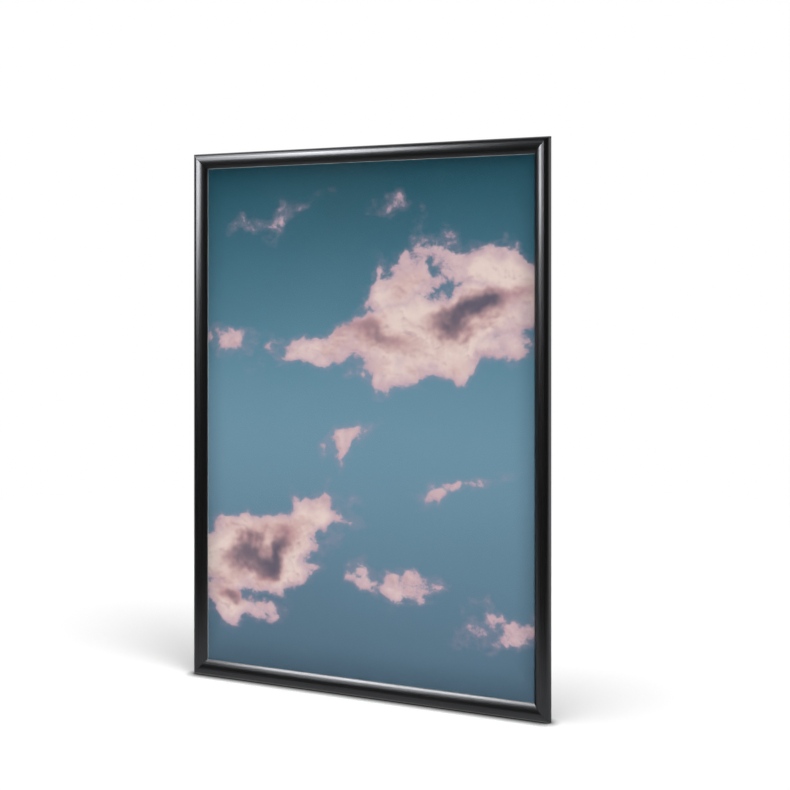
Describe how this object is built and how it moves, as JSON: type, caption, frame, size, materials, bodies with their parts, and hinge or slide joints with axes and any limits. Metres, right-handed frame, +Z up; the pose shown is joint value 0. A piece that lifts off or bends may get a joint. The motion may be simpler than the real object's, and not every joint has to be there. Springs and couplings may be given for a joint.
{
  "type": "poster snap frame",
  "caption": "Portrait poster frame with mitred black rails that flip open to the front on sprung hinges, a clear cover sheet over the print, a back panel and wall screw holes.",
  "frame": {"origin": "middle of the four wall screw holes, on the back face that lies against the wall", "axes": "+X to the right seen from the front, +Z up, the picture faces -Y and +Y points into the wall"},
  "size_m": [0.624, 0.012, 0.871],
  "materials": {
    "black_profile": "black anodised aluminium extrusion, satin",
    "spring_steel": "hardened strip, bright rolled",
    "zinc_steel": "zinc plated, matte",
    "black_steel": "black oxide",
    "back_board": "light grey polystyrene sheet, fine texture",
    "print_paper": "printed poster paper, sky with clouds",
    "clear_cover": "clear sheet with a fine anti-glare face"
  },
  "bodies": {
    "frame_base": {"base_rail_top": "black_profile", "base_rail_bottom": "black_profile", "base_rail_left": "black_profile", "base_rail_right": "black_profile", "corner_key_top_left": "zinc_steel", "corner_key_top_right": "zinc_steel", "corner_key_bottom_left": "zinc_steel", "corner_key_bottom_right": "zinc_steel", "key_grub_screws": "black_steel", "spring_clips_top": "spring_steel", "spring_clips_bottom": "spring_steel", "spring_clips_left": "spring_steel", "spring_clips_right": "spring_steel", "back_panel": "back_board", "poster_print": "print_paper", "cover_sheet": "clear_cover"},
    "top_rail": {"snap_rail_top": "black_profile"},
    "bottom_rail": {"snap_rail_bottom": "black_profile"},
    "left_rail": {"snap_rail_left": "black_profile"},
    "right_rail": {"snap_rail_right": "black_profile"}
  },
  "joints": [
    {"name": "top_flip", "type": "hinge", "parent": "frame_base", "child": "top_rail", "pos_m": [0, -0.004, 0.43325], "axis": [-1, 0, 0], "range_deg": [0, 90], "deforming": ["spring_clips_top"]},
    {"name": "bottom_flip", "type": "hinge", "parent": "frame_base", "child": "bottom_rail", "pos_m": [0, -0.004, -0.43325], "axis": [1, 0, 0], "range_deg": [0, 90], "deforming": ["spring_clips_bottom"]},
    {"name": "left_flip", "type": "hinge", "parent": "frame_base", "child": "left_rail", "pos_m": [-0.30975, -0.004, 0], "axis": [0, 0, -1], "range_deg": [0, 90], "deforming": ["spring_clips_left"]},
    {"name": "right_flip", "type": "hinge", "parent": "frame_base", "child": "right_rail", "pos_m": [0.30975, -0.004, 0], "axis": [0, 0, 1], "range_deg": [0, 90], "deforming": ["spring_clips_right"]}
  ]
}
